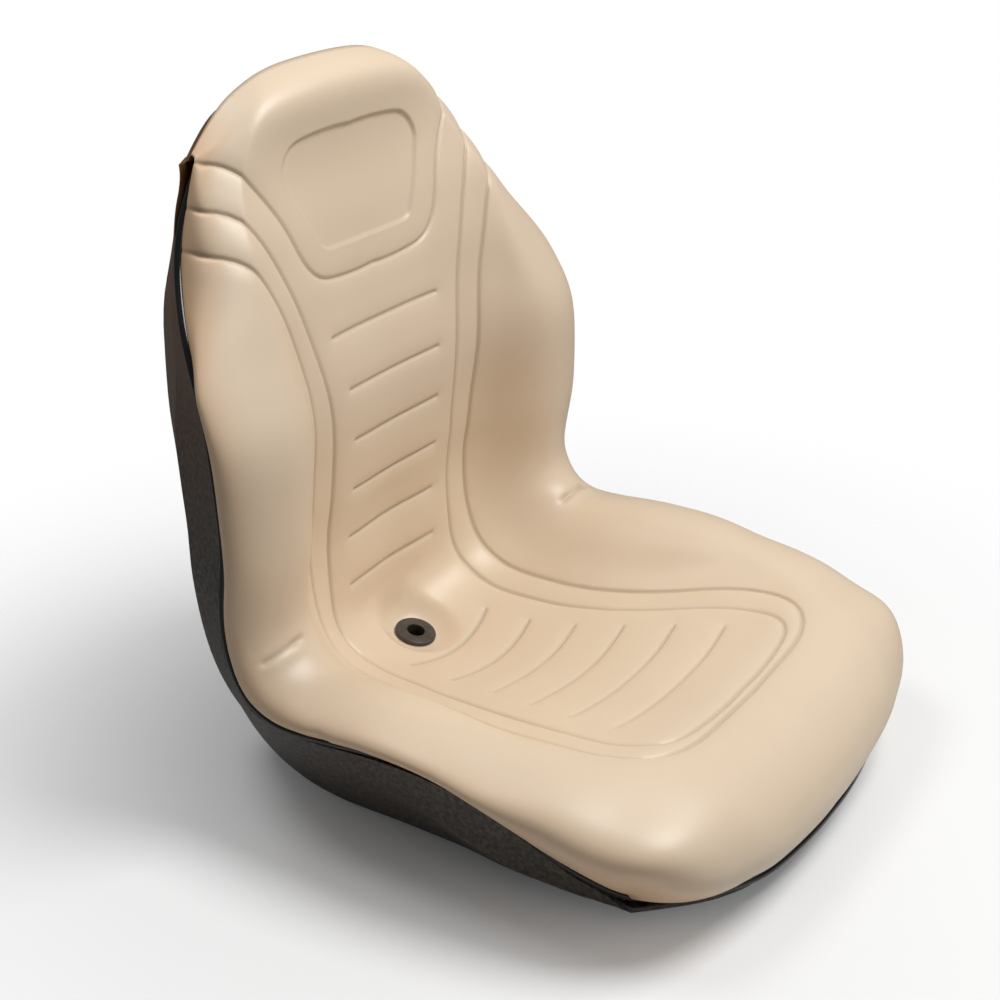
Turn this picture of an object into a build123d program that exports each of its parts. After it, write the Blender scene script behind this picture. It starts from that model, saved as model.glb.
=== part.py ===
# High-back bucket seat for a ride-on garden machine: one moulded cushion in a moulded shell.
# Frame: X across the seat, -Y to the front, +Z up, origin in the middle of the four mounting holes.
import os
from bisect import bisect_right
from collections import namedtuple
from math import cos, radians, sin

from build123d import *

# Lines across the seat, as (y, z), that the sections turn about at the nose, the bight and the head
nose_axis = (-180.0, 27.0)
bight = (65.0, 166.0)
head_axis = (212.0, 499.0)
back_plane = 150.0

# Key sections from the nose to the head. Each has the y and z of its origin, the tilt of its height
# axis from vertical towards the front, the height on the centre line and half-section points (x, height).
# Crease and corner belong to the shell outside it.
Station = namedtuple("Station", "y z tilt centre flat panel crest side rim crease corner")
key_sections = [
    (*nose_axis, 90, 80, (40, 79), (78, 75), (122, 61), (155, 36), (181, 9), None, None),
    (*nose_axis, 70, 95, (45, 94.6), (85, 93), (142, 84), (184, 51), (183, 8.5), None, None),
    (*nose_axis, 38, 92, (60, 92), (105, 93), (170, 92), (216, 58), (184.5, 8), None, None),
    (*nose_axis, 0, 84.5, (72, 86.5), (125, 90), (188, 90), (232, 54), (186, 8), (183, -8), (176, -15)),
    (-140, 0, 0, 104, (74, 106), (133, 113), (194, 125), (239, 96), (203, 58), (192, 24), (180, 12.5)),
    (-95, 0, 0, 95, (75, 98), (138, 108), (197, 130), (243, 108), (214, 88), (200, 32), (182, 14)),
    (-45, 0, 0, 85, (75, 90), (128, 97), (196, 136), (243, 118), (219, 103), (204, 48), (163, 0)),
    (0, 0, 0, 78, (72, 82.5), (118, 91), (195, 138), (242, 120), (221, 107), (204, 62), (161, 0)),
    (*bight, 0, -97, (65, -89), (112, -76.5), (193, -29), (240, -48), (224, -61), (204, -100), (160, -166)),
    (*bight, 28, -110, (62, -97), (112, -81), (191, -28), (238, -51), (225, -69.5), (205, -105), (157, -179)),
    (*bight, 52, -108, (62, -100), (112, -85), (190, -29), (238, -55), (225, -75), (206, -113), (150, -176)),
    (*bight, 90, -85, (70, -82), (111, -81), (190, -35), (238, -58), (224, -75), (203, -122), (150, -171)),
    (back_plane, 234, 90, 8.8, (72, 9.3), (112, 9.4), (190, 54), (243, 32), (223, 14), (200, -45), (151, -90)),
    (back_plane, 304, 90, 11, (72, 12.8), (114, 17), (189, 55), (244, 30), (225, 12), (197, -52), (150, -101)),
    (back_plane, 374, 90, -3.5, (72, -1), (127, 10), (180, 28), (232, 5), (221, -5), (198, -45), (150, -100)),
    (back_plane, 434, 90, -16, (72, -15), (125, -8), (157, -5), (190, -27), (181, -46), (170, -66), (140, -93)),
    (*head_axis, 90, 33.5, (60, 34), (108, 34), (132, 29), (156, 14), (152, 6), (146, -11), (130, -20)),
    (*head_axis, 45, 49, (45, 48.5), (82, 46), (113, 36), (138, 19), (149, 7.5), None, None),
    (*head_axis, 0, 58, (28, 57.6), (54, 56), (98, 44), (127, 27), (147, 7), None, None),
]
stations = [Station(*row) for row in key_sections]
half_steps = (0.0, 0.043, 0.141, 0.302, 0.374)
spline_steps = [*half_steps, 0.5, *[1 - step for step in reversed(half_steps)]]
nose_sections = 5
shell_sections = 25
head_sections = 4

# Shell, edge trim and fits
shell_wall = 3.5
shell_corner_radius = 10.0
trim_diameter = 7.0
trim_inset = 1.5
trim_nose_inset = 4.5
trim_head_inset = 10.0
trim_gap = 0.6
foam_gap = 2.5
rim_ledge = 9.0
ledge_drop = 0.5
end_floor_steps = ((0, 0), (15, 1), (35, 2), (45, 2))
edge_setback = 1.0
hollow_rise = 40.0
corner_bevel = 5.0
tray_depth = 8.0
nose_tray_inset = 3.0
head_tray_inset = 9.0
edge_relief = 6.0
tray_taper = 5.0
tray_overlap = 12.0
trim_points_count = 41
trim_rings = 41

# Moulded grooves of the cushion
groove_depth = 2.5
groove_width = 4.0
back_groove_floor = 204.0
back_groove_reach = 104.0
seat_groove_floor = 45.0
seat_groove_reach = 105.0
back_rows = 6
back_row_pitch = 44.1
back_first_row = 134.5
back_row_margin = 28.0
seat_rows = 6
seat_row_pitch = 42.6
seat_first_row = 90.0
seat_row_margin = 30.0
seat_row_bow = 8.0

# Headrest panel, in the front view
panel_top = 509.0
panel_waist = 477.0
panel_bottom = 419.5
panel_top_half = 83.0
panel_waist_half = 86.0
panel_bottom_half = 58.0
panel_top_radius = 30.0
panel_bottom_radius = 14.0

# Drain through the seat at the bight
drain_point = (0.0, 125.8, 69.0)
drain_tilt = 15.0
drain_bore = 16.0
drain_tube = 22.0
drain_flange = 36.0
drain_flange_height = 3.5
drain_flange_sunk = 2.2
drain_flange_round = 1.5
drain_length = 67.0

# Mounting holes in the underside
mount_spacing_x = 203.2
mount_spacing_y = 285.75
mount_hole = 8.0
insert_diameter = 14.0
insert_flange = 20.0
insert_flange_height = 2.0
insert_height = 20.0
insert_recess = 0.2
insert_gap = 0.05
boss_diameter = 30.0
boss_height = 22.0

fit_gap = 0.3
clear_size = 800.0
edge_drop = trim_diameter + 2 * trim_gap
trim_roll = Vector(0.3, -0.7, 0.64)  # a direction that the trim never runs along


def place(station, point):
    x, height = point
    tilt = radians(station.tilt)
    return Vector(x, station.y - height * sin(tilt), station.z + height * cos(tilt))


def mirrored(points):
    return [Vector(-p.X, p.Y, p.Z) for p in reversed(points)]


def spread(start, end, count):
    return [start + (end - start) * i / (count - 1) for i in range(count)]


# Half outline, from its edge to the middle, moved to its inner side by a wall
def inset(points, wall):
    outline = [Vector(*p) for p in points]
    ring = outline + [p for p in mirrored(outline) if p.X < 0]
    moved = []
    for i, here in enumerate(outline):
        runs = [b - a for a, b in zip(ring[max(i - 1, 0) : i + 1], ring[max(i, 1) : i + 2])]
        normals = [Vector(run.Y, -run.X).normalized() for run in runs]
        middle = (normals[0] + normals[-1]).normalized()
        there = here + middle * (wall / middle.dot(normals[0]))
        moved.append((there.X, there.Y))
    return moved


# Way along the seat of each key section, by its mean distance from the one before
def step_between(a, b):
    pairs = [(a.side, b.side), (a.crest, b.crest), ((0, a.centre), (0, b.centre))]
    return sum((place(b, q) - place(a, p)).length for p, q in pairs) / len(pairs)


marks = [0.0]
for before, after in zip(stations, stations[1:]):
    marks.append(marks[-1] + step_between(before, after))


# Point of a smooth rail through key points, which does not overshoot between them
def rail_point(points, ways, way):
    def slope(i):
        return (points[i + 1] - points[i]) / (ways[i + 1] - ways[i])

    def tangent(i):
        if i in (0, len(points) - 1):
            return slope(min(i, len(points) - 2))
        behind, ahead = slope(i - 1), slope(i)
        share = (ways[i] - ways[i - 1]) / (ways[i + 1] - ways[i - 1])
        mean = behind * (1 - share) + ahead * share
        bounds = [3 * min(abs(b), abs(a)) for b, a in zip(behind, ahead)]
        return Vector(*[max(-bound, min(bound, m)) for m, bound in zip(mean, bounds)])

    i = min(max(bisect_right(ways, way) - 1, 0), len(points) - 2)
    step = ways[i + 1] - ways[i]
    u = (way - ways[i]) / step
    return (
        points[i] * (2 * u**3 - 3 * u**2 + 1)
        + tangent(i) * (step * (u**3 - 2 * u**2 + u))
        + points[i + 1] * (3 * u**2 - 2 * u**3)
        + tangent(i + 1) * (step * (u**3 - u**2))
    )


shelled = [s for s in stations if s.crease]
open_stations = [s for s in stations if s not in shelled[1:-1]]
shell_start = marks[stations.index(shelled[0])]
shell_end = marks[stations.index(shelled[-1])]
nose_ways = spread(0, shell_start, nose_sections)
shell_ways = spread(shell_start, shell_end, shell_sections)
head_ways = spread(shell_end, marks[-1], head_sections)
cushion_ways = nose_ways[:-1] + shell_ways + head_ways[1:]


# Half sections of a form at the given ways along the seat
def half_sections(shape, group, ways):
    rows = [[place(s, p) for p in shape(s)] for s in group]
    group_marks = [marks[stations.index(s)] for s in group]
    columns = [list(points) for points in zip(*rows)]
    return [[rail_point(column, group_marks, way) for column in columns] for way in ways]


# Straight edges through points, with one rounded corner on each side
def polyline_edges(points, corner, radius):
    edges = []
    start = points[0]
    for i in range(1, len(points) - 1):
        here = points[i]
        if i in (corner, len(points) - 1 - corner):
            back = (points[i - 1] - here).normalized()
            on = (points[i + 1] - here).normalized()
            half_angle = radians(back.get_angle(on) / 2)
            reach = radius * cos(half_angle) / sin(half_angle)
            middle = here + (back + on).normalized() * (radius / sin(half_angle) - radius)
            edges.append(Edge.make_line(start, here + back * reach))
            edges.append(Edge.make_three_point_arc(here + back * reach, middle, here + on * reach))
            start = here + on * reach
        else:
            edges.append(Edge.make_line(start, here))
            start = here
    edges.append(Edge.make_line(start, points[-1]))
    return edges


# Half outlines of the pieces in one key section
def cushion_top(s):
    return [s.rim, s.side, s.crest, s.panel, s.flat, (0, s.centre)]


def sunk_top(s):
    return inset(cushion_top(s), -groove_depth)


def shell_outside(s):
    relief = edge_relief if s in (shelled[0], shelled[-1]) else 0
    return [(s.rim[0] - edge_setback, s.rim[1] - edge_drop - relief), s.crease, s.corner]


def shell_hollow(s):
    inside = inset(shell_outside(s), shell_wall)
    return [(inside[0][0], s.rim[1] + hollow_rise)] + inside


def cushion_floor(s):
    ledge = (s.rim[0] - rim_ledge, s.rim[1] - ledge_drop)
    if s in open_stations:
        return [(ledge[0] - inwards, ledge[1] - down) for inwards, down in end_floor_steps]
    crease, corner = inset(shell_outside(s), shell_wall + foam_gap)[1:]
    turn = (Vector(*crease) - Vector(*corner)).normalized() * corner_bevel
    return [ledge, crease, (corner[0] + turn.X, corner[1] + turn.Y), (corner[0] - corner_bevel, corner[1])]


def trim_centre(s):
    return [(s.rim[0] - trim_inset, s.rim[1] - trim_gap - trim_diameter / 2)]


# Closed loft whose sections have the given tops and floors
def padded_form(top):
    tops = half_sections(top, stations, cushion_ways)
    floors = half_sections(cushion_floor, stations, cushion_ways)
    wires = []
    for half, floor in zip(tops, floors):
        curve = Edge.make_spline(half + mirrored(half[:-1]), parameters=spline_steps)
        loop = [half[0]] + floor + mirrored(floor) + mirrored(half[:1])
        wires.append(Wire([curve] + [Edge.make_line(a, b) for a, b in zip(loop, loop[1:])]))
    return Solid.make_loft(wires)


def shell_form(outline, corner, radius):
    wires = []
    for half in half_sections(outline, shelled, shell_ways):
        ring = half + mirrored(half)
        edges = polyline_edges(ring, corner, radius)
        wires.append(Wire(edges + [Edge.make_line(ring[-1], ring[0])]))
    return Solid.make_loft(wires)


# Plan of the nose end or front view of the head end, drawn in by a margin
def end_outline(s, margin, shift):
    return [place(s, p) + shift for p in inset(cushion_top(s), -margin)]


def end_wire(s, margin, shift):
    half = end_outline(s, margin, shift)
    curve = Edge.make_spline(half + mirrored(half[:-1]), parameters=spline_steps)
    inwards = (place(s, (0, 0)) - place(s, (0, 1))) * tray_overlap
    root = [half[0], half[0] + inwards]
    loop = root + mirrored(root)
    return Wire([curve] + [Edge.make_line(a, b) for a, b in zip(loop, loop[1:])])


# Tray that closes the shell under the nose or behind the head, and the space in it
def end_tray(s, away, margin):
    top = away * edge_drop
    bottom = away * (edge_drop + tray_depth)
    floor = away * (edge_drop + tray_depth - shell_wall)
    inner = margin + shell_wall
    outside = Solid.make_loft([end_wire(s, margin, top), end_wire(s, margin + tray_taper, bottom)])
    space = Solid.make_loft([end_wire(s, inner, top), end_wire(s, inner + tray_taper, floor)])
    return outside, space


# Cushion blank, and the core that its grooves go down to
cushion = padded_form(cushion_top)
core = padded_form(sunk_top)

# Grooves of the back, drawn in the front view
front_view = Plane.XZ.offset(-back_groove_floor)
inner_back = Spline((86, 70), (86, 200), (87, 295), (102, 368), (129, 436), (158, 471), (172, 472))
outer_back = Spline((111, 70), (111.5, 200), (113, 280), (118, 331), (139, 401), (168, 441), (183, 445))
brow_half = [(158, 499), (143, 501), (125, 485), (99, 446), (86, 418), (69, 402), (48, 397)]
brow = Spline(*brow_half, (0, 396.5), *[(-x, z) for x, z in reversed(brow_half)])


# Distance from the centre line at which a line of the pattern crosses a level of its sketch
def reach_at(line, level):
    across = Edge.make_line((0, level), (clear_size, level))
    return line.edges()[0].intersect(across).vertices()[0].X


back_sketch = Sketch() + [trace(line, groove_width) for line in (inner_back, outer_back)]
back_sketch += mirror(back_sketch, Plane.YZ)
back_sketch += trace(brow, groove_width)
for i in range(back_rows):
    level = back_first_row + i * back_row_pitch
    half = reach_at(inner_back, level) - back_row_margin
    back_sketch += Pos(0, level) * SlotOverall(2 * half, groove_width)

panel_corners = [
    (panel_bottom_half, panel_bottom),
    (panel_waist_half, panel_waist),
    (panel_top_half, panel_top),
]
panel = make_face(Polyline(*panel_corners, *[(-x, z) for x, z in reversed(panel_corners)], close=True))
panel = fillet(panel.vertices().group_by(Axis.Y)[0], panel_bottom_radius)
panel = fillet(panel.vertices().group_by(Axis.Y)[-1], panel_top_radius)
back_cut = extrude(front_view * (back_sketch + panel), back_groove_reach)

# Grooves of the seat, drawn in the plan view
plan_view = Plane.XY.offset(seat_groove_floor)
inner_half = [(86, 118), (87, 81), (93, 18), (111, -67), (120, -107), (121, -142), (109, -168), (70, -181)]
outer_half = [(111, 118), (112, 82), (116, 21), (137, -65), (147, -115)]
outer_half += [(147, -142), (135, -170), (108, -186), (55, -191)]
inner_seat = Spline(*inner_half, (0, -183), *[(-x, y) for x, y in reversed(inner_half)])
outer_seat = Spline(*outer_half, (0, -192), *[(-x, y) for x, y in reversed(outer_half)])
seat_sketch = Sketch() + [trace(line, groove_width) for line in (inner_seat, outer_seat)]
for i in range(seat_rows):
    level = seat_first_row - i * seat_row_pitch
    half = reach_at(inner_seat, level) - seat_row_margin
    arc = ThreePointArc((-half, level), (0, level - seat_row_bow), (half, level))
    seat_sketch += SlotArc(arc, groove_width)
seat_cut = extrude(plan_view * seat_sketch, seat_groove_reach)

groove_cuts = [cutter - core for cutter in back_cut.solids() + seat_cut.solids()]

# Drain grommet, square to the seat, with its tube down through the cushion and the shell
drain_up = (0, -sin(radians(drain_tilt)), cos(radians(drain_tilt)))
drain_plane = Plane(drain_point, x_dir=(1, 0, 0), z_dir=drain_up)
flange_base = -drain_flange_sunk
flange = Pos(0, 0, flange_base) * extrude(Circle(drain_flange / 2), drain_flange_height)
flange = fillet(flange.edges().group_by(Axis.Z)[-1], drain_flange_round)
tube = Pos(0, 0, -drain_length) * extrude(Circle(drain_tube / 2), drain_length)
bore = Pos(0, 0, -2 * drain_length) * extrude(Circle(drain_bore / 2), 3 * drain_length)
drain_grommet = drain_plane * (flange + tube - bore)
flange_seat = Pos(0, 0, flange_base - fit_gap) * extrude(Circle(drain_flange / 2 + fit_gap), drain_length)
tube_hole = Pos(0, 0, -2 * drain_length) * extrude(Circle(drain_tube / 2 + fit_gap), 3 * drain_length)
drain_room = drain_plane * (flange_seat + tube_hole)

# Shell with its end trays, and a boss round each mounting hole
tub = shell_form(shell_outside, 2, shell_corner_radius)
hollow = shell_form(shell_hollow, 3, shell_corner_radius - shell_wall)
nose_tray, nose_space = end_tray(stations[0], Vector(0, 0, -1), nose_tray_inset)
head_tray, head_space = end_tray(stations[-1], Vector(0, 1, 0), head_tray_inset)
shell = tub + nose_tray + head_tray - hollow - nose_space - head_space
mount_places = GridLocations(mount_spacing_x, mount_spacing_y, 2, 2)
bosses = mount_places * extrude(Circle(boss_diameter / 2), boss_height)
shell = shell + bosses
insert_seats = mount_places * (
    extrude(Circle(insert_diameter / 2 + insert_gap), insert_height + insert_gap)
    + extrude(Circle(insert_flange / 2 + insert_gap), insert_recess + insert_flange_height)
)
underside = Pos(0, 0, -clear_size / 2) * Box(clear_size, clear_size, clear_size)
shell = shell - insert_seats - drain_plane * tube_hole - underside
boss_room = mount_places * extrude(Circle(boss_diameter / 2 + fit_gap), boss_height + fit_gap)


# Edge trim between the cushion's rim and the shell's edge, made as two halves of one ring
def end_path(s, away, margin):
    shift = away * (trim_gap + trim_diameter / 2)
    return end_outline(s, trim_inset, shift)[:1] + end_outline(s, margin, shift)[1:]


nose_path = end_path(stations[0], Vector(0, 0, -1), trim_nose_inset)
head_path = end_path(stations[-1], Vector(0, 1, 0), trim_head_inset)
side_path = [half[0] for half in half_sections(trim_centre, stations, shell_ways)]
trim_keys = nose_path[::-1] + side_path + head_path
trim_keys = mirrored(trim_keys[1:2]) + trim_keys + mirrored(trim_keys[-2:-1])
trim_ways = [0.0]
for before, after in zip(trim_keys, trim_keys[1:]):
    trim_ways.append(trim_ways[-1] + (after - before).length)
path_ways = spread(trim_ways[1], trim_ways[-2], trim_points_count)
trim_points = [rail_point(trim_keys, trim_ways, way) for way in path_ways]
trim_path = Edge.make_spline(trim_points, tangents=[(1, 0, 0), (-1, 0, 0)])
trim_planes = []
for u in spread(0, 1, trim_rings):
    along = trim_path % u
    trim_planes.append(Plane(trim_path @ u, trim_roll.cross(along), along))


def trim_ring(radius):
    half = Solid.make_loft([Wire.make_circle(radius, plane) for plane in trim_planes])
    return half + half.mirror(Plane.YZ)


edge_trim = trim_ring(trim_diameter / 2)
trim_room = trim_ring(trim_diameter / 2 + fit_gap)
shell = (shell - trim_room).solids().sort_by(SortBy.VOLUME)[-1]
cushion = (cushion - trim_room).solids().sort_by(SortBy.VOLUME)[-1]
cushion = cushion - [*groove_cuts, drain_room, *boss_room]

# Threaded inserts, with plain bores at the thread's outer diameter
insert = Pos(0, 0, insert_recess) * extrude(Circle(insert_diameter / 2), insert_height - insert_recess)
insert += Pos(0, 0, insert_recess) * extrude(Circle(insert_flange / 2), insert_flange_height)
insert -= extrude(Circle(mount_hole / 2), insert_height)
mount_inserts = mount_places * insert

os.makedirs("parts", exist_ok=True)
export_step(cushion, "parts/cushion.step")
export_step(shell, "parts/shell.step")
export_step(edge_trim, "parts/edge_trim.step")
export_step(drain_grommet, "parts/drain_grommet.step")
export_step(Compound(children=mount_inserts), "parts/mount_inserts.step")
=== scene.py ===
import bmesh
import bpy
import numpy as np
from mathutils import Matrix, Vector


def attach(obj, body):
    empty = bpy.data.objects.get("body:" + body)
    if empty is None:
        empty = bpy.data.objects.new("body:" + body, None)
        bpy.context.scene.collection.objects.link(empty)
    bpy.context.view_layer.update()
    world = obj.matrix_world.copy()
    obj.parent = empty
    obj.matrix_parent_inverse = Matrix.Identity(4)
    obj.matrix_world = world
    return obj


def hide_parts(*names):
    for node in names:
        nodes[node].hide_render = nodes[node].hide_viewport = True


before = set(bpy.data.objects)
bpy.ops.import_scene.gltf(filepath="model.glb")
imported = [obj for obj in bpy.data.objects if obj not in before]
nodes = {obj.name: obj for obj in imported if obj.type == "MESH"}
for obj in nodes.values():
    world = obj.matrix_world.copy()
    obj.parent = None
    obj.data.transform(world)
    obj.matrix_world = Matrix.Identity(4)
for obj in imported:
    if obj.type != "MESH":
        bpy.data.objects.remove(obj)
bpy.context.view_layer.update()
scene = bpy.context.scene
mm = 0.001
far = 1e3  # distance of points that no line of the pattern is near, in mm
mirror = np.array([-1, 1, 1])


def addPiece(mesh, name, smooth=True):  # turns a bmesh into an object of the scene
    data = bpy.data.meshes.new(name)
    mesh.to_mesh(data)
    mesh.free()
    if smooth:
        data.shade_smooth()
    piece = bpy.data.objects.new(name, data)
    scene.collection.objects.link(piece)
    return piece


def step01(value):
    value = np.clip(value, 0, 1)
    return value * value * (3 - 2 * value)


def bell(value):
    return np.exp(-value ** 2)


cushion = {  # a grid laid over key sections, drawn finer along its pattern, with grooves pressed into it
    "nose": (-180, 27), "bight": (65, 166), "head": (212, 499),  # lines the sections turn about, y and z in mm
    "sections": [  # place, tilt, centre height, then flat, panel, crest, side and rim as x and height
        ((-180, 29.5), 89, 85, (40, 84), (80, 79.5), (125, 63), (157, 37), (181, 9)),
        ("nose", 70, 98, (45, 97.5), (88, 95.5), (145, 85.5), (185, 51), (183, 8.5)),
        ("nose", 38, 92, (60, 92), (105, 93), (170, 92), (216, 58), (184.5, 8)),
        ("nose", 0, 84.5, (72, 86.5), (125, 90), (188, 90), (232, 54), (186, 8)),
        ((-140, 0), 0, 104, (74, 106), (133, 113), (194, 125), (239, 96), (203, 58)),
        ((-95, 0), 0, 95, (75, 98), (138, 108), (197, 130), (243, 109), (214, 91)),
        ((-45, 0), 0, 85, (75, 90), (128, 97), (196, 136), (243, 120), (219, 106.5)),
        ((0, 0), 0, 78, (72, 82.5), (118, 91), (195, 138), (242, 121.5), (221, 109.5)),
        ("bight", 0, -97, (65, -89), (112, -76.5), (193, -29), (240, -48), (224, -61)),
        ("bight", 28, -110, (62, -97), (112, -81), (191, -28), (238, -51), (225, -69.5)),
        ("bight", 52, -108, (62, -100), (112, -85), (190, -29), (238, -55), (225, -75)),
        ("bight", 90, -85, (70, -82), (111, -81), (190, -35), (238, -58), (224, -75)),
        ((150, 234), 90, 8.8, (72, 9.3), (112, 9.4), (190, 54), (243, 32), (223, 14)),
        ((150, 304), 90, 11, (72, 12.8), (114, 17), (189, 55), (244, 30), (225, 12)),
        ((150, 374), 90, -3.5, (72, -1), (127, 10), (180, 28), (232, 5), (221, -5)),
        ((150, 434), 90, -16, (72, -15), (128, -6), (163, 0), (193, -24), (183, -46)),
        ("head", 90, 33.5, (60, 34), (108, 34), (132, 29), (156, 14), (152, 6)),
        ("head", 45, 49, (45, 48.5), (82, 46), (113, 36), (138, 19), (149, 7.5)),
        ("head", 0, 58, (28, 57.6), (54, 56), (98, 44), (127, 27), (147, 7)),
    ],
    "steps": (0, 0.043, 0.141, 0.302, 0.374, 0.5),  # way across of rim, side, crest, panel, flat and centre
    "deep": range(4, 16), "deepBelow": 30, "flatBelow": 2.5,  # sections that go down into the shell
    "hem": ((9, 0.5), (30, 30), (30, 2)),  # inset and drop of the hem, and of the deep and flat sides
    "underColumns": (100, 24, 16, 8, 0), "guideRows": 36,
    "easePasses": 50, "easeFrom": 355, "easeRun": 60,  # rounding of the shoulders, from this height upwards
    "rows": 262, "columns": 136, "edgeColumns": 14, "fine": (4.6, 2.3),  # reach of each finer drawing, in mm
    "grooveDepth": 1.8, "grooveWidth": 1.7, "crown": 1.2, "crownWidth": 7,
    "edgeShare": 0.2, "edgeRun": 6,  # share of the depth left at the edge, and columns it runs out over
    "backFrom": (98, 85), "seatUpTo": (122, 160), "panelFrom": 385,  # where each view's lines hold
    "lineReach": 16,
    "innerBack": [(86, 60), (86, 200), (87, 295), (102, 368), (129, 436), (158, 471), (176, 472)],
    "outerBack": [(111, 60), (111.5, 200), (113, 280), (118, 331), (139, 401), (168, 441), (188, 445)],
    "brow": [(165, 498), (143, 501), (125, 485), (99, 446), (86, 418), (69, 402), (48, 397), (0, 396.5)],
    "innerSeat": [
        (86, 125), (87, 81), (93, 18), (111, -67), (120, -107), (121, -142), (109, -168), (70, -181), (0, -183),
    ],
    "outerSeat": [
        (111, 125), (112, 82), (116, 21), (137, -65), (147, -115),
        (147, -142), (135, -170), (108, -186), (55, -191), (0, -192),
    ],
    "backRows": [134.5 + 44.1 * i for i in range(6)], "backMargin": 28,
    "seatRows": [90 - 42.6 * i for i in range(6)], "seatMargin": 30, "seatBow": 8, "seatPoints": 7,
    "sideShare": 0.75,  # share of the inner seat line that runs along the side
    "panel": [
        (0, 419.5), (44, 419.5), (56, 422), (62, 430), (84, 474),
        (86, 481), (82, 493), (71, 502), (57, 505), (0, 506),
    ],
    # the last two are the share and width of painted shade along the panel's edge
    "panelPoints": 120, "panelDepth": 2.4, "panelEdge": 2.2, "panelShade": 0.6, "panelShadeWidth": 2,
    "folds": [  # ends, depth and width of small creases at the bight
        ((-226, 105, 153), (-188, 97, 161), 2.6, 3.0),
        ((-228, 113, 163), (-204, 107, 168), 0.7, 3.4),
        ((172, 80, 139), (214, 79, 140), 2.2, 3.0),
    ],
    # the second is the share of painted shade in each fold
    "foldRun": 0.55, "foldShade": 0.9, "lip": 0.2, "lipRun": 0.5, "lipPlace": 2.4, "lipWidth": 1.3,
    "nick": ((-240, 45, 113), 4.5, 6.0),  # small dent in the edge: place, depth and width
    "drain": (0, 125.8, 69), "drainTilt": 15, "drainHole": 14.5, "drainReach": 25, "drainCut": (-70, 30),
    "drainSeat": 18.6, "drainSunk": 2.7, "drainFade": 22,
}


def placePoint(section, point):
    origin = section[0] if isinstance(section[0], tuple) else cushion[section[0]]
    tilt = np.radians(section[1])
    return np.array([point[0], origin[0] - point[1] * np.sin(tilt), origin[1] + point[1] * np.cos(tilt)])


def limitedRail(marks, points, ways):  # smooth rail that does not overshoot
    step = np.diff(marks)
    slope = np.diff(points, axis=0) / step[:, None]
    before = np.concatenate([slope[:1], slope])
    after = np.concatenate([slope, slope[-1:]])
    tangent = before.copy()
    mean = slope[:-1] * step[1:, None] + slope[1:] * step[:-1, None]
    tangent[1:-1] = mean / (step[1:] + step[:-1])[:, None]
    bound = 3 * np.minimum(np.abs(after), np.abs(before))
    tangent = np.clip(tangent, -bound, bound)
    i = np.clip(np.searchsorted(marks, ways, side="right") - 1, 0, len(step) - 1)
    h = step[i][:, None]
    u = (ways - marks[i])[:, None] / h
    ends = points[i] * (2 * u**3 - 3 * u**2 + 1) + points[i + 1] * (3 * u**2 - 2 * u**3)
    return ends + tangent[i] * h * (u**3 - 2 * u**2 + u) + tangent[i + 1] * h * (u**3 - u**2)


def cubicThrough(knots, values, ways):  # curve of even bend through values, along their first axis
    n = len(knots)
    h = np.diff(knots)
    flat = values.reshape(n, -1)
    a = np.zeros((n, n))
    b = np.zeros_like(flat)
    for i in range(1, n - 1):
        a[i, i - 1:i + 2] = h[i - 1], 2 * (h[i - 1] + h[i]), h[i]
        b[i] = 6 * ((flat[i + 1] - flat[i]) / h[i] - (flat[i] - flat[i - 1]) / h[i - 1])
    a[0, :2] = 1, -1
    a[-1, -2:] = 1, -1
    bend = np.linalg.solve(a, b)
    i = np.clip(np.searchsorted(knots, ways, side="right") - 1, 0, n - 2)
    w = h[i][:, None]
    p = (knots[i + 1] - ways)[:, None]
    q = (ways - knots[i])[:, None]
    out = (bend[i] * p**3 + bend[i + 1] * q**3) / (6 * w)
    out += (flat[i] / w - bend[i] * w / 6) * p + (flat[i + 1] / w - bend[i + 1] * w / 6) * q
    return out.reshape((len(ways),) + values.shape[1:])


def lengthMarks(points):  # length of a polyline up to each of its points
    return np.concatenate([[0], np.cumsum(np.linalg.norm(np.diff(points, axis=0), axis=1))])


def smoothLine(points, count=60):  # even curve through key points of the pattern
    points = np.array(points, float)
    marks = lengthMarks(points)
    return cubicThrough(marks, points, np.linspace(0, marks[-1], count))


def lineDistance(where, line):  # distance of points from a polyline, and for flat ones the side they lie on
    best = np.full(len(where), np.inf)
    side = np.ones(len(where))
    for p, q in zip(line[:-1], line[1:]):
        run = q - p
        along = np.clip((where - p) @ run / (run @ run), 0, 1)
        away = where - p - along[:, None] * run
        distance = np.linalg.norm(away, axis=1)
        near = distance < best
        best = np.where(near, distance, best)
        side = np.where(near, np.sign(run[0] * away[:, 1] - run[1] * away[:, 0]), side)
    return best, side


def undersideOf(index, section):
    rimX, rimH = section[7]
    hem, deepSide, flatSide = cushion["hem"]
    if index in cushion["deep"]:
        low, side = min(rimH, section[2]) - cushion["deepBelow"], deepSide
    else:
        low, side = rimH - cushion["flatBelow"], flatSide
    outer = [(rimX - inset, rimH - drop) for inset, drop in (hem, side)]
    return outer + [(x, low) for x in cushion["underColumns"]]


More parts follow.
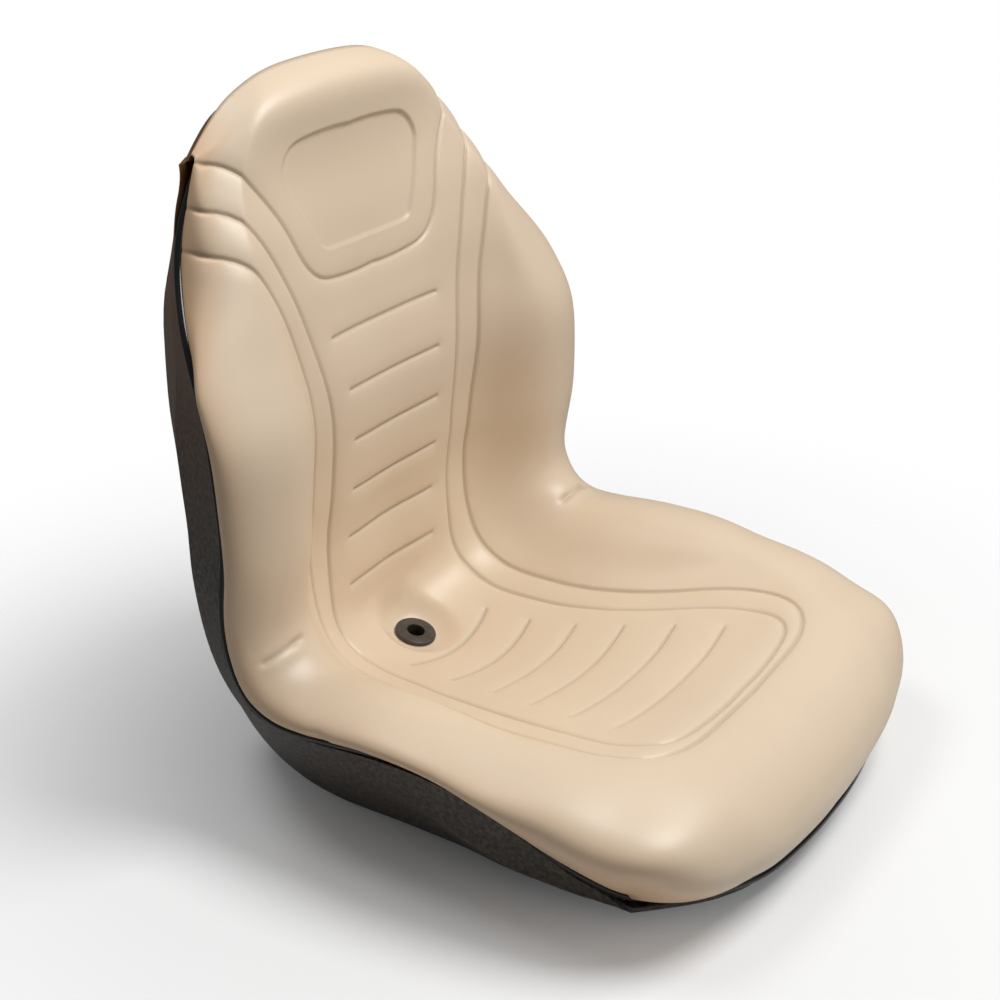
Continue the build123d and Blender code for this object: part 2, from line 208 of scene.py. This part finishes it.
def cushionGrid():  # points of the face and of the underside, row by row from the nose to the head
    sections = cushion["sections"]
    top = [[s[7], s[6], s[5], s[4], s[3], (0, s[2])] for s in sections]
    top = np.array([[placePoint(s, p) for p in half] for s, half in zip(sections, top)])
    under = np.array([[placePoint(s, p) for p in undersideOf(i, s)] for i, s in enumerate(sections)])
    steps = np.linalg.norm(np.diff(top[:, [1, 2, 5]], axis=0), axis=2).mean(axis=1)  # by side, crest, centre
    marks = np.concatenate([[0], np.cumsum(steps)])
    marks = marks / marks[-1]
    guide = np.linspace(0, 1, cushion["guideRows"])
    along = np.linspace(0, 1, cushion["rows"])

    def spreadRows(points):
        rough = np.stack([limitedRail(marks, points[:, k], guide) for k in range(points.shape[1])], axis=1)
        return cubicThrough(guide, rough, along)

    top, under = spreadRows(top), spreadRows(under)
    ring = np.concatenate([top, top[:, -2::-1] * mirror], axis=1)
    knots = np.array(cushion["steps"] + tuple(1 - s for s in cushion["steps"][-2::-1]))
    across = np.linspace(0, 1, cushion["columns"])
    face = cubicThrough(knots, ring.transpose(1, 0, 2), across).transpose(1, 0, 2)
    for _ in range(cushion["easePasses"]):  # rounds the crest at the shoulders and the head
        share = 0.5 * step01((face[:, 1:-1, 2:] - cushion["easeFrom"]) / cushion["easeRun"])
        face[:, 1:-1] += share * ((face[:, :-2] + face[:, 2:]) / 2 - face[:, 1:-1])
    underside = np.concatenate([under, under[:, -2::-1] * mirror], axis=1)[:, ::-1]
    return face, underside


def patternLines():  # lines of the pattern in the front view and in the plan
    innerBack, innerSeat = smoothLine(cushion["innerBack"]), smoothLine(cushion["innerSeat"])
    front = [innerBack, smoothLine(cushion["outerBack"]), smoothLine(cushion["brow"])]
    plan = [innerSeat, smoothLine(cushion["outerSeat"])]
    for level in cushion["backRows"]:
        reach = np.interp(level, innerBack[:, 1], innerBack[:, 0]) - cushion["backMargin"]
        front.append(np.array([(0, level), (reach, level)], float))
    side = innerSeat[:int(cushion["sideShare"] * len(innerSeat))]
    for level in cushion["seatRows"]:
        reach = np.interp(-level, -side[:, 1], side[:, 0]) - cushion["seatMargin"]
        way = np.linspace(0, 1, cushion["seatPoints"])
        plan.append(np.stack([way * reach, level - cushion["seatBow"] * (1 - way**2)], axis=1))
    return front, plan


frontLines, planLines = patternLines()
panelLine = smoothLine(cushion["panel"], cushion["panelPoints"])


def drainPlace(points):  # axis of the drain, and height along it and distance from it
    tilt = np.radians(cushion["drainTilt"])
    axis = np.array([0, -np.sin(tilt), np.cos(tilt)])
    away = points - np.array(cushion["drain"], float)
    height = away @ axis
    return axis, height, np.linalg.norm(away - height[:, None] * axis, axis=1)


def patternDistance(points):  # distance from the grooves, and depth inside the headrest panel
    x, y, z = np.abs(points[:, 0]), points[:, 1], points[:, 2]
    near = np.full(len(points), far)
    backY, backZ = cushion["backFrom"]
    seatY, seatZ = cushion["seatUpTo"]
    views = ((frontLines, z, (y > backY) & (z > backZ)), (planLines, y, (y < seatY) & (z < seatZ)))
    for lines, level, mask in views:
        for line in lines:
            low, high = line.min(axis=0) - cushion["lineReach"], line.max(axis=0) + cushion["lineReach"]
            close = mask & (x > low[0]) & (x < high[0]) & (level > low[1]) & (level < high[1])
            distance, _ = lineDistance(np.stack([x, level], axis=1)[close], line)
            near[close] = np.minimum(near[close], distance)
    panelNear = np.full(len(points), -far)
    head = (y > backY) & (z > cushion["panelFrom"])
    distance, side = lineDistance(np.stack([x, z], axis=1)[head], panelLine)
    panelNear[head] = distance * side
    return near, panelNear


def pressedDepth(points):  # how far each point of the face is pressed in, and its share of painted shade in the grooves, along the panel's edge and in the folds
    near, panelNear = patternDistance(points)
    groove = bell(near / cushion["grooveWidth"])
    depth = cushion["grooveDepth"] * groove + cushion["crown"] * bell(near / cushion["crownWidth"])
    depth += cushion["panelDepth"] * step01(0.5 + panelNear / (2 * cushion["panelEdge"]))
    # painted shade in the grooves and along the panel's edge
    crease = np.maximum(groove, cushion["panelShade"] * bell(panelNear / cushion["panelShadeWidth"]))
    for start, end, deep, wide in cushion["folds"]:
        ends = np.array([start, end], float)
        run = ends[1] - ends[0]
        distance, _ = lineDistance(points, ends)
        fromMiddle = (points - ends[0]) @ run / np.sum(run ** 2) - 0.5
        share = bell(distance / wide) * bell((fromMiddle / cushion["foldRun"]) ** 2)
        lip = bell((distance / wide - cushion["lipPlace"]) / cushion["lipWidth"])  # raised beside the fold
        depth += deep * share - cushion["lip"] * deep * lip * bell((fromMiddle / cushion["lipRun"]) ** 2)
        # painted shade in the fold
        crease = np.maximum(crease, cushion["foldShade"] * share)
    place, deep, wide = cushion["nick"]
    depth += deep * bell(np.linalg.norm(points - np.array(place), axis=1) / wide)
    return depth, crease


def layerValues(mesh, layer):
    return np.array([v[layer] for v in mesh.verts])


def wholeFace(mesh, faceLayer):  # points of the face, without those drawn between it and the underside
    return layerValues(mesh, faceLayer) > 0.99


def pointsOf(mesh):
    return np.array([v.co for v in mesh.verts])


def drawFiner(mesh, faceLayer, reach):  # cuts the faces along the pattern in four
    mesh.verts.index_update()
    points = pointsOf(mesh)
    near, panelNear = patternDistance(points)
    near = np.minimum(near, np.abs(panelNear))
    for start, end, _, _ in cushion["folds"]:
        near = np.minimum(near, lineDistance(points, np.array([start, end], float))[0])
    _, height, radius = drainPlace(points)
    atDrain = np.abs(height) < cushion["drainReach"]
    near = np.where(atDrain, np.minimum(near, np.abs(radius - cushion["drainHole"])), near)
    fine = (near < reach) & wholeFace(mesh, faceLayer)
    edges = {e for f in mesh.faces if any(fine[v.index] for v in f.verts) for e in f.edges}
    bmesh.ops.subdivide_edges(mesh, edges=list(edges), cuts=1, use_grid_fill=True)


def openDrain(mesh, faceLayer):  # hole for the drain, from the face down to the underside
    mesh.faces.ensure_lookup_table()
    axis, height, radius = drainPlace(np.array([f.calc_center_median() for f in mesh.faces]))
    low, high = cushion["drainCut"]
    inside = (radius < cushion["drainHole"]) & (height > low) & (height < high)
    gone = [f for f, cut in zip(mesh.faces, inside) if cut]
    bmesh.ops.delete(mesh, geom=gone, context="FACES")
    rim = [e for e in mesh.edges if e.is_boundary]
    upper = {v for e in rim for v in e.verts if v[faceLayer] > 0.5}
    centre = np.array(cushion["drain"], float)
    for v in upper:
        away = np.array(v.co) - centre
        out = away - (away @ axis) * axis
        v.co = centre + (away @ axis) * axis + out * (cushion["drainHole"] / np.linalg.norm(out))
    bmesh.ops.bridge_loops(mesh, edges=rim)


face, underside = cushionGrid()


def makeCushion():
    rows, columns = face.shape[:2]
    ring = np.concatenate([face, underside[:, 1:-1]], axis=1)
    wide = ring.shape[1]
    mesh = bmesh.new()
    faceLayer = mesh.verts.layers.float.new("face")
    edgeLayer = mesh.verts.layers.float.new("edge")
    # share of painted shade in the grooves, along the panel's edge and in the folds
    shadeLayer = mesh.verts.layers.float.new("groove")
    verts = [mesh.verts.new(p) for p in ring.reshape(-1, 3)]
    for k, v in enumerate(verts):
        j = k % wide
        v[faceLayer] = 1.0 if j < columns else 0.0
        v[edgeLayer] = max(0.0, 1 - min(j, columns - 1 - j) / cushion["edgeColumns"]) if j < columns else 1.0
    loops = [verts[i * wide:(i + 1) * wide] for i in range(rows)]
    for first, second in zip(loops, loops[1:]):
        for j in range(wide):
            k = (j + 1) % wide
            mesh.faces.new((first[j], first[k], second[k], second[j]))
    for loop in (loops[0], loops[-1]):
        mesh.faces.new(loop)
    bmesh.ops.recalc_face_normals(mesh, faces=mesh.faces)
    for reach in cushion["fine"]:
        drawFiner(mesh, faceLayer, reach)
    mesh.normal_update()
    points = pointsOf(mesh)
    normals = np.array([v.normal for v in mesh.verts])
    onFace = wholeFace(mesh, faceLayer)
    depth, crease = pressedDepth(points)
    fromEdge = (1 - layerValues(mesh, edgeLayer)) * cushion["edgeColumns"]
    left = cushion["edgeShare"]
    depth = depth * (left + (1 - left) * step01(fromEdge / cushion["edgeRun"]))  # grooves run out at the edge
    points = points - normals * (depth * onFace)[:, None]
    axis, height, radius = drainPlace(points)
    share = 1 - step01((radius - cushion["drainSeat"]) / cushion["drainFade"])
    share = share * (np.abs(height) < cushion["drainReach"]) * onFace
    points = points - (np.maximum(height + cushion["drainSunk"], 0) * share)[:, None] * axis
    for v, place, value in zip(mesh.verts, points, crease * onFace):
        v.co = place
        v[shadeLayer] = value
    openDrain(mesh, faceLayer)
    bmesh.ops.scale(mesh, vec=(mm, mm, mm), verts=mesh.verts)
    bmesh.ops.recalc_face_normals(mesh, faces=mesh.faces)
    return addPiece(mesh, "cushionSkin")


skin = makeCushion()
print("cushion skin", sum(len(f.vertices) - 2 for f in skin.data.polygons), "triangles")


bead = {  # black edging laid under the cushion's edge, all the way round, in mm
    "radius": 3.6, "sides": 12, "count": 420, "drop": 4.0, "inset": 1.6, "noseInset": 2.0, "headInset": 15,
    "headFrom": 0.86, "headRun": 0.1,  # share of the rows where the inset grows towards the head
    "cornerSkip": 4, "sideSkip": 2, "easePasses": 7,  # points left out at the corners, which are then rounded
    "aside": (0.3, -0.7, 0.64),  # direction that the bead nowhere runs in
}


def beadPath():
    rows, columns = face.shape[:2]
    down = underside[:, -2] - underside[:, -1]
    down[:, 0] = 0
    down = down / np.linalg.norm(down, axis=1, keepdims=True)
    headward = step01((np.arange(rows) / (rows - 1) - bead["headFrom"]) / bead["headRun"])
    side = face[:, 0] + down * bead["drop"]
    side[:, 0] -= bead["inset"] + (bead["headInset"] - bead["inset"]) * headward

    def endRow(row, drop, margin):  # half of the first or last row, moved inwards and down
        half = row[:columns // 2 + 1].copy()
        inward = np.cross(np.gradient(half, axis=0), drop)
        inward = inward / np.linalg.norm(inward, axis=1, keepdims=True)
        toCentre = row[0] * np.array([0.25, 1, 1]) - half
        inward *= np.sign(np.sum(inward * toCentre, axis=1, keepdims=True))
        half = half + inward * margin + np.array(drop) * bead["drop"]
        half[-1, 0] = 0
        return half[bead["cornerSkip"]:]

    nose = endRow(face[0], (0, 0, -1), bead["noseInset"])
    head = endRow(face[-1], (0, 1, 0), bead["headInset"])
    half = np.concatenate([nose[::-1], side[bead["sideSkip"]:-bead["sideSkip"]], head])
    ring = np.concatenate([half, half[-2:0:-1] * mirror])

    def evenly(points):
        closed = np.concatenate([points, points[:1]])
        marks = lengthMarks(closed)
        ways = np.linspace(0, marks[-1], bead["count"], endpoint=False)
        return np.stack([np.interp(ways, marks, closed[:, k]) for k in range(3)], axis=1)

    ring = evenly(ring)
    for _ in range(bead["easePasses"]):
        ring = 0.5 * ring + 0.25 * (np.roll(ring, 1, axis=0) + np.roll(ring, -1, axis=0))
    return evenly(ring)


def makeBead():
    path = beadPath()
    along = np.roll(path, -1, axis=0) - np.roll(path, 1, axis=0)
    across = np.cross(along, bead["aside"])
    across = across / np.linalg.norm(across, axis=1, keepdims=True)
    rise = np.cross(across, along)
    rise = rise / np.linalg.norm(rise, axis=1, keepdims=True)
    turns = np.arange(bead["sides"]) * 2 * np.pi / bead["sides"]
    mesh = bmesh.new()
    rings = []
    for centre, a, b in zip(path, across, rise):
        spokes = [bead["radius"] * (np.cos(t) * a + np.sin(t) * b) for t in turns]
        rings.append([mesh.verts.new((centre + spoke) * mm) for spoke in spokes])
    for first, second in zip(rings, rings[1:] + rings[:1]):
        for i in range(bead["sides"]):
            k = (i + 1) % bead["sides"]
            mesh.faces.new((first[i], first[k], second[k], second[i]))
    bmesh.ops.recalc_face_normals(mesh, faces=mesh.faces)
    return addPiece(mesh, "edgeBead")


edging = makeBead()
print("edge bead")


def newMaterial(name, rough, metal=0.0):
    material = bpy.data.materials.new(name)
    material.use_nodes = True
    tree = material.node_tree
    shader = tree.nodes["Principled BSDF"]
    shader.inputs["Roughness"].default_value = rough
    shader.inputs["Metallic"].default_value = metal
    return material, tree, shader


def link(tree, a, b):
    tree.links.new(a, b)


def objectPlace(tree):
    return tree.nodes.new("ShaderNodeTexCoord").outputs["Object"]


def noise(tree, scale, detail=4.0):
    node = tree.nodes.new("ShaderNodeTexNoise")
    node.inputs["Scale"].default_value = scale
    node.inputs["Detail"].default_value = detail
    link(tree, objectPlace(tree), node.inputs["Vector"])
    return node.outputs["Fac"]


def mottled(tree, source, look, stops=(0.3, 0.7)):  # colour between the look's dark and light
    node = tree.nodes.new("ShaderNodeValToRGB")
    for element, place, colour in zip(node.color_ramp.elements, stops, (look["dark"], look["light"])):
        element.position = place
        element.color = (*colour, 1)
    link(tree, source, node.inputs["Fac"])
    return node.outputs["Color"]


def bump(tree, shader, source, strength, distance):
    node = tree.nodes.new("ShaderNodeBump")
    node.inputs["Strength"].default_value = strength
    node.inputs["Distance"].default_value = distance
    link(tree, source, node.inputs["Height"])
    link(tree, node.outputs["Normal"], shader.inputs["Normal"])


def attribute(tree, name):
    node = tree.nodes.new("ShaderNodeAttribute")
    node.attribute_name = name
    return node.outputs["Fac"]


def mapped(tree, source, low, high):  # range node between two source values
    node = tree.nodes.new("ShaderNodeMapRange")
    node.inputs["From Min"].default_value = low
    node.inputs["From Max"].default_value = high
    link(tree, source, node.inputs["Value"])
    return node


def tinted(tree, base, share, amount, colour):  # base colour moved towards another where share is high
    power = tree.nodes.new("ShaderNodeMath")
    power.operation = "MULTIPLY"
    power.inputs[1].default_value = amount
    link(tree, share, power.inputs[0])
    mix = tree.nodes.new("ShaderNodeMix")
    mix.data_type = "RGBA"
    mix.inputs["B"].default_value = (*colour, 1)
    link(tree, power.outputs["Value"], mix.inputs["Factor"])
    link(tree, base, mix.inputs["A"])
    return mix.outputs["Result"]


vinyl = {
    "light": (0.80, 0.645, 0.475), "dark": (0.77, 0.615, 0.45), "mottle": 9, "rough": 0.40,
    # edge: painted warm reflection on the cushion's rolled edge; crease: painted shade in grooves and folds
    "edge": (0.82, 0.47, 0.22), "edgeShare": 0.62, "crease": (0.36, 0.28, 0.19), "creaseShare": 0.42,
    "grain": 900, "grainDetail": 2, "bump": 0.2, "bumpDepth": 0.0003,
}
material, tree, shader = newMaterial("vinyl", vinyl["rough"])
colour = mottled(tree, noise(tree, vinyl["mottle"]), vinyl)
# painted warm reflection along the cushion's rolled edge
colour = tinted(tree, colour, attribute(tree, "edge"), vinyl["edgeShare"], vinyl["edge"])
# painted shade in the grooves, along the panel's edge and in the folds
colour = tinted(tree, colour, attribute(tree, "groove"), vinyl["creaseShare"], vinyl["crease"])
link(tree, colour, shader.inputs["Base Color"])
bump(tree, shader, noise(tree, vinyl["grain"], vinyl["grainDetail"]), vinyl["bump"], vinyl["bumpDepth"])
skin.data.materials.append(material)

shellLook = {
    "dark": (0.030, 0.024, 0.019), "light": (0.105, 0.085, 0.067), "stops": (0.36, 0.66), "rough": 0.5,
    "warmReflection": (0.20, 0.085, 0.022), "reflectionShare": 0.8, "reflectionFrom": 0.22, "reflectionTo": 0.50,  # painted warm reflection, browner towards the head
    "grain": 260, "grainDetail": 8, "bump": 0.45, "bumpDepth": 0.0006,
}
shellMaterial, tree, shader = newMaterial("shellPlastic", shellLook["rough"])
grain = noise(tree, shellLook["grain"], shellLook["grainDetail"])
colour = mottled(tree, grain, shellLook, shellLook["stops"])
split = tree.nodes.new("ShaderNodeSeparateXYZ")
link(tree, objectPlace(tree), split.inputs["Vector"])
# painted warm reflection that grows with height
height = mapped(tree, split.outputs["Z"], shellLook["reflectionFrom"], shellLook["reflectionTo"])
colour = tinted(tree, colour, height.outputs["Result"], shellLook["reflectionShare"], shellLook["warmReflection"])
link(tree, colour, shader.inputs["Base Color"])
bump(tree, shader, grain, shellLook["bump"], shellLook["bumpDepth"])


def plainLook(name, look):
    material, tree, shader = newMaterial(name, look["rough"], look.get("metal", 0.0))
    link(tree, mottled(tree, noise(tree, look["mottle"]), look), shader.inputs["Base Color"])
    return material


trimLook = {"dark": (0.006, 0.006, 0.006), "light": (0.012, 0.012, 0.012), "mottle": 40, "rough": 0.18}
drainLook = {"dark": (0.035, 0.029, 0.024), "light": (0.07, 0.058, 0.047), "mottle": 200, "rough": 0.45}
steelLook = {"dark": (0.42, 0.42, 0.43), "light": (0.6, 0.6, 0.6), "mottle": 120, "rough": 0.35, "metal": 1}
trimMaterial = plainLook("trim", trimLook)
nodeMaterials = {
    "shell": shellMaterial, "edge_trim": trimMaterial,
    "drain_grommet": plainLook("drain", drainLook), "mount_inserts": plainLook("steel", steelLook),
}
for name, material in nodeMaterials.items():
    nodes[name].data.materials.clear()
    nodes[name].data.materials.append(material)
edging.data.materials.append(trimMaterial)
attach(edging, "root")
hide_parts("edge_trim")
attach(skin, "root")
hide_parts("cushion")
print("materials")

stage = {  # pale floor that fades into the white round it, sizes in m
    "size": 3.2, "light": (0.93, 0.93, 0.93), "dark": (0.91, 0.91, 0.91), "mottle": 2, "rough": 0.9,
    "clear": (0.10, 0.80), "world": 0.15,
}
plane = bmesh.new()
bmesh.ops.create_grid(plane, x_segments=1, y_segments=1, size=stage["size"] / 2)
ground = addPiece(plane, "floor", smooth=False)
material, tree, shader = newMaterial("floorWhite", stage["rough"])
link(tree, mottled(tree, noise(tree, stage["mottle"]), stage), shader.inputs["Base Color"])
away = tree.nodes.new("ShaderNodeVectorMath")
away.operation = "LENGTH"
link(tree, objectPlace(tree), away.inputs[0])
fade = mapped(tree, away.outputs["Value"], *stage["clear"])
fade.interpolation_type = "SMOOTHSTEP"
fade.inputs["To Min"].default_value = 1.0
fade.inputs["To Max"].default_value = 0.0
link(tree, fade.outputs["Result"], shader.inputs["Alpha"])
ground.data.materials.append(material)

lights = {  # place, aim, size in m and power in W of each soft light
    "key": ((0.5, -0.9, 2.15), (0, 0, 0.25), 1.2, 39),
    "fill": ((-0.3, -2.3, 1.4), (0, 0, 0.25), 1.6, 4),
    "rim": ((-0.35, 0.9, 2.2), (0, 0.1, 0.4), 0.9, 11),
}
for name, (place, aim, size, power) in lights.items():
    lamp = bpy.data.lights.new(name, "AREA")
    lamp.shape = "DISK"
    lamp.size = size
    lamp.energy = power
    holder = bpy.data.objects.new(name, lamp)
    scene.collection.objects.link(holder)
    holder.location = place
    holder.rotation_euler = (Vector(aim) - Vector(place)).to_track_quat("-Z", "Y").to_euler()

world = bpy.data.worlds.new("studio")
scene.world = world
world.use_nodes = True
tree = world.node_tree
background = tree.nodes["Background"]
background.inputs["Color"].default_value = (1, 1, 1, 1)
path = tree.nodes.new("ShaderNodeLightPath")
strength = tree.nodes.new("ShaderNodeMix")  # white behind the seat, but little light from it
strength.inputs["A"].default_value = stage["world"]
strength.inputs["B"].default_value = 1.0
link(tree, path.outputs["Is Camera Ray"], strength.inputs["Factor"])
link(tree, strength.outputs["Result"], background.inputs["Strength"])

camera = {  # fitted to the photo: place in m, lens and sensor in mm
    "place": (-1.0852, -0.6455, 0.80675), "lens": 62.64, "sensor": 36,
    "right": (0.53347, -0.84582, 0), "up": (0.35369, 0.22308, 0.90837),
}
lens = bpy.data.cameras.new("camera")
lens.lens = camera["lens"]
lens.sensor_width = camera["sensor"]
eye = bpy.data.objects.new("camera", lens)
scene.collection.objects.link(eye)
right, up = Vector(camera["right"]).normalized(), Vector(camera["up"]).normalized()
turn = Matrix((right, up, right.cross(up))).transposed()
eye.matrix_world = Matrix.Translation(camera["place"]) @ turn.to_4x4()
scene.camera = eye
scene.view_settings.view_transform = "Standard"
print("stage")
